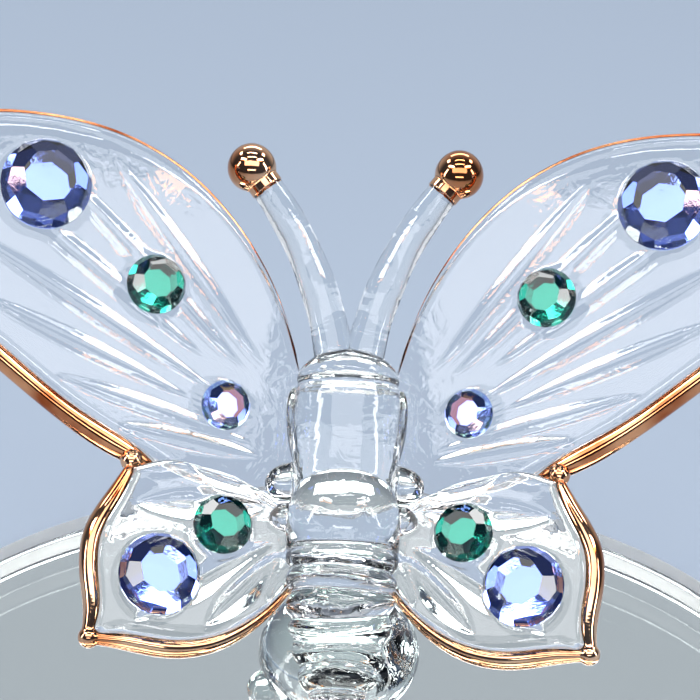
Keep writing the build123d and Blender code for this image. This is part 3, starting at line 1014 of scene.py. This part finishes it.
def felt():
    """Black felt, whose matted fibres are a fine noise in colour and height."""
    material, tree, shader, coordinates = new_material("felt")
    socket(shader, "Roughness", felt_roughness)
    socket(shader, "Sheen Weight", felt_sheen)
    fibres = noise(tree, coordinates, fibre_scale, fibre_detail)
    add_ramp(tree, shader, fibres, fibre_colours)
    add_bump(tree, shader, fibres, fibre_depth)
    return material


def dress(piece, *materials):
    """Give a piece its materials."""
    for material in materials:
        piece.data.materials.append(material)


def redress(node, material):
    """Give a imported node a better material."""
    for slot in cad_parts[node].material_slots:
        slot.material = material


def stands_for(piece, slot, *nodes):
    """The piece rides on the one body and replaces its nodes."""
    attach(piece, "root")
    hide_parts(*nodes)


def pair(right, slot, node, *materials):
    """Dress a right-hand piece and make its left-hand twin; each stands for the node of its own side."""
    dress(right, *materials)
    left = mirrored(right, right.name.replace("right", "left"))
    stands_for(right, slot, node + "_right")
    stands_for(left, slot, node + "_left")


glass_waves = wave_group()
body_glass = clear_glass("body_glass", (0.975, 0.988, 0.985), scale=120, cords=0.25, depth=0.24)
foot_glass = clear_glass("foot_glass", (0.90, 0.975, 0.95), scale=120, cords=0.3, depth=0.12)
wing_glass = clear_glass("wing_glass", (0.985, 0.988, 0.99), scale=140, cords=0.3, depth=0.06)
pane_glass = clear_glass("pane_glass", (0.95, 0.98, 0.965), scale=20, cords=0.0, depth=0.001)
lustre = gold_lustre("gold_lustre", (0.55, 0.20, 0.08), (0.93, 0.57, 0.34))
# The forewing rims get a darker, redder copy of the lustre: painted shade for the deep tone that light
# through their glass gives them
lustre_painted_shade = gold_lustre("lustre_painted_shade", (0.42, 0.09, 0.025), (0.90, 0.42, 0.20))
stone_looks = {
    "blue": stone_glass("sapphire_stone", (0.18, 0.27, 0.83)),
    "green": stone_glass("emerald_stone", (0.014, 0.21, 0.15)),
    "iridescent": stone_glass("iridescent_stone", (0.26, 0.36, 0.88), film_nanometres),
}
foil = bright_foil("foil", (0.92, 0.93, 0.95), roughness=0.03, depth=0.002)
silver = bright_foil("silver", (0.90, 0.91, 0.92), roughness=0.015, depth=0.0002)


def build_body():
    """Body, antennae and gilt tips."""
    foot, body = glass_foot(), glass_body()
    dress(foot, foot_glass)
    stands_for(foot, "clear_glass", "foot_ball", "foot_bead_left", "foot_bead_front", "foot_bead_back")
    dress(body, body_glass)
    stands_for(body, "clear_glass", "abdomen", "thorax")
    rod, tip = antenna_rod(), antenna_tip()
    pair(rod, "clear_glass", "antenna", body_glass)
    pair(tip, "gold_lustre", "antenna_tip", lustre)


def build_wings():
    """Both pairs of wings, with their rims."""
    fore_glass, fore_rim = forewing_pieces()
    hind_glass, hind_rim = hindwing_pieces()
    pair(fore_glass, "clear_glass", "forewing", wing_glass)
    pair(fore_rim, "gold_lustre", "forewing_rim", lustre_painted_shade)
    pair(hind_glass, "clear_glass", "hindwing", wing_glass)
    pair(hind_rim, "gold_lustre", "hindwing_rim", lustre)


def build_stones():
    """The ten stones."""
    for name, on, width, shares, look in stone_places:
        right = stone(name.replace("stone_", "cut_") + "_right", seat_place(wings[on], shares), width)
        pair(right, look + "_stone", name, stone_looks[look], foil)


def build_base():
    """The mirror and its felt, and the materials of the stones' foil and glue."""
    pane = mirror_plate()
    ground = clear_glass("ground_edge", (0.72, 0.71, 0.70), scale=600, cords=0.5, depth=0.02, roughness=1.0)
    dress(pane, pane_glass, ground)
    stands_for(pane, "mirror_pane", "mirror_glass")
    redress("mirror_silvering", silver)
    redress("felt_pad", felt())
    redress("stone_foils", foil)
    redress("stone_glue", clear_glass("set_glue", (0.95, 0.95, 0.94), scale=500, cords=0.5, depth=0.02))


def build_stage():
    """A plain floor in matt paint."""
    corners = [(-1, -1, 0), (1, -1, 0), (1, 1, 0), (-1, 1, 0)]
    floor = new_object("stage_floor", np.array(corners) * floor_reach, [[0, 1, 2, 3]])
    paint, _, shader, _ = new_material("floor_paint")
    socket(shader, "Base Color", (*floor_colour, 1))
    socket(shader, "Roughness", floor_roughness)
    dress(floor, paint)


def area_lamp(name, place, size, radiance, along=(1, 0, 0), colour=white):
    """A rectangular softbox that faces the ornament; its power is radiance times pi times area."""
    lamp = bpy.data.lights.new(name, "AREA")
    lamp.color = colour
    lamp.shape = "RECTANGLE"
    lamp.size, lamp.size_y = size[0] * MM, size[1] * MM
    lamp.energy = radiance * np.pi * lamp.size * lamp.size_y
    away = unit(np.subtract(place, lamp_aim))
    up = unit(np.cross(away, along))
    holder = bpy.data.objects.new(name, lamp)
    turned = Matrix(np.stack([np.cross(up, away), up, away], axis=-1).tolist()).to_4x4()
    turned.translation = Vector(place) * MM
    holder.matrix_world = turned
    bpy.context.scene.collection.objects.link(holder)


def build_lights():
    """A large softbox above and in front, narrow bright strips, and the surround."""
    for lamp in middle_lamps:
        area_lamp(*lamp)
    for side in (-1, 1):
        flip = np.array([side, 1, 1])
        for name, place, size, radiance, along, colour in side_lamps:
            area_lamp(f"{name}_{side}", place * flip, size, radiance, along * flip, colour)
    world = bpy.data.worlds.new("surround")
    world.use_nodes = True
    tree = world.node_tree
    direction = tree.nodes.new("ShaderNodeTexCoord")
    parts = tree.nodes.new("ShaderNodeSeparateXYZ")
    behind = tree.nodes.new("ShaderNodeMapRange")
    behind.interpolation_type = "SMOOTHSTEP"
    behind.inputs["From Min"].default_value = surround_rise[0]
    behind.inputs["From Max"].default_value = surround_rise[1]
    blend = tree.nodes.new("ShaderNodeMix")
    blend.data_type = "RGBA"
    blend.inputs["A"].default_value = (*surround_low, 1)
    blend.inputs["B"].default_value = (*surround_high, 1)
    tree.links.new(direction.outputs["Generated"], parts.inputs[0])
    tree.links.new(parts.outputs["Y"], behind.inputs["Value"])
    tree.links.new(behind.outputs["Result"], blend.inputs["Factor"])
    tree.links.new(blend.outputs["Result"], tree.nodes["Background"].inputs["Color"])
    bpy.context.scene.world = world


def build_camera():
    """A long lens that looks down on the ornament, rolled a little."""
    rise_cos, rise_sin = turn(camera_elevation)
    roll_cos, roll_sin = turn(camera_roll)
    forward = np.array([0, rise_cos, -rise_sin])
    up = np.array([0, rise_sin, rise_cos])
    right = np.array([1.0, 0, 0])
    target = camera_target + camera_rise * up
    rolled_right = roll_cos * right + roll_sin * up
    rolled_up = roll_cos * up - roll_sin * right
    camera = bpy.data.cameras.new("camera")
    camera.sensor_width = sensor_width
    camera.lens = sensor_width * camera_distance / frame_width
    camera.clip_start = camera_nearest * MM
    holder = bpy.data.objects.new("camera", camera)
    turned = Matrix(np.stack([rolled_right, rolled_up, -forward], axis=-1).tolist()).to_4x4()
    turned.translation = Vector((target - camera_distance * forward) * MM)
    holder.matrix_world = turned
    bpy.context.scene.collection.objects.link(holder)
    bpy.context.scene.camera = holder


build_body()
build_wings()
build_stones()
build_base()
build_stage()
build_lights()
build_camera()
bpy.context.scene.view_settings.view_transform = "Standard"

bpy.context.view_layer.update()
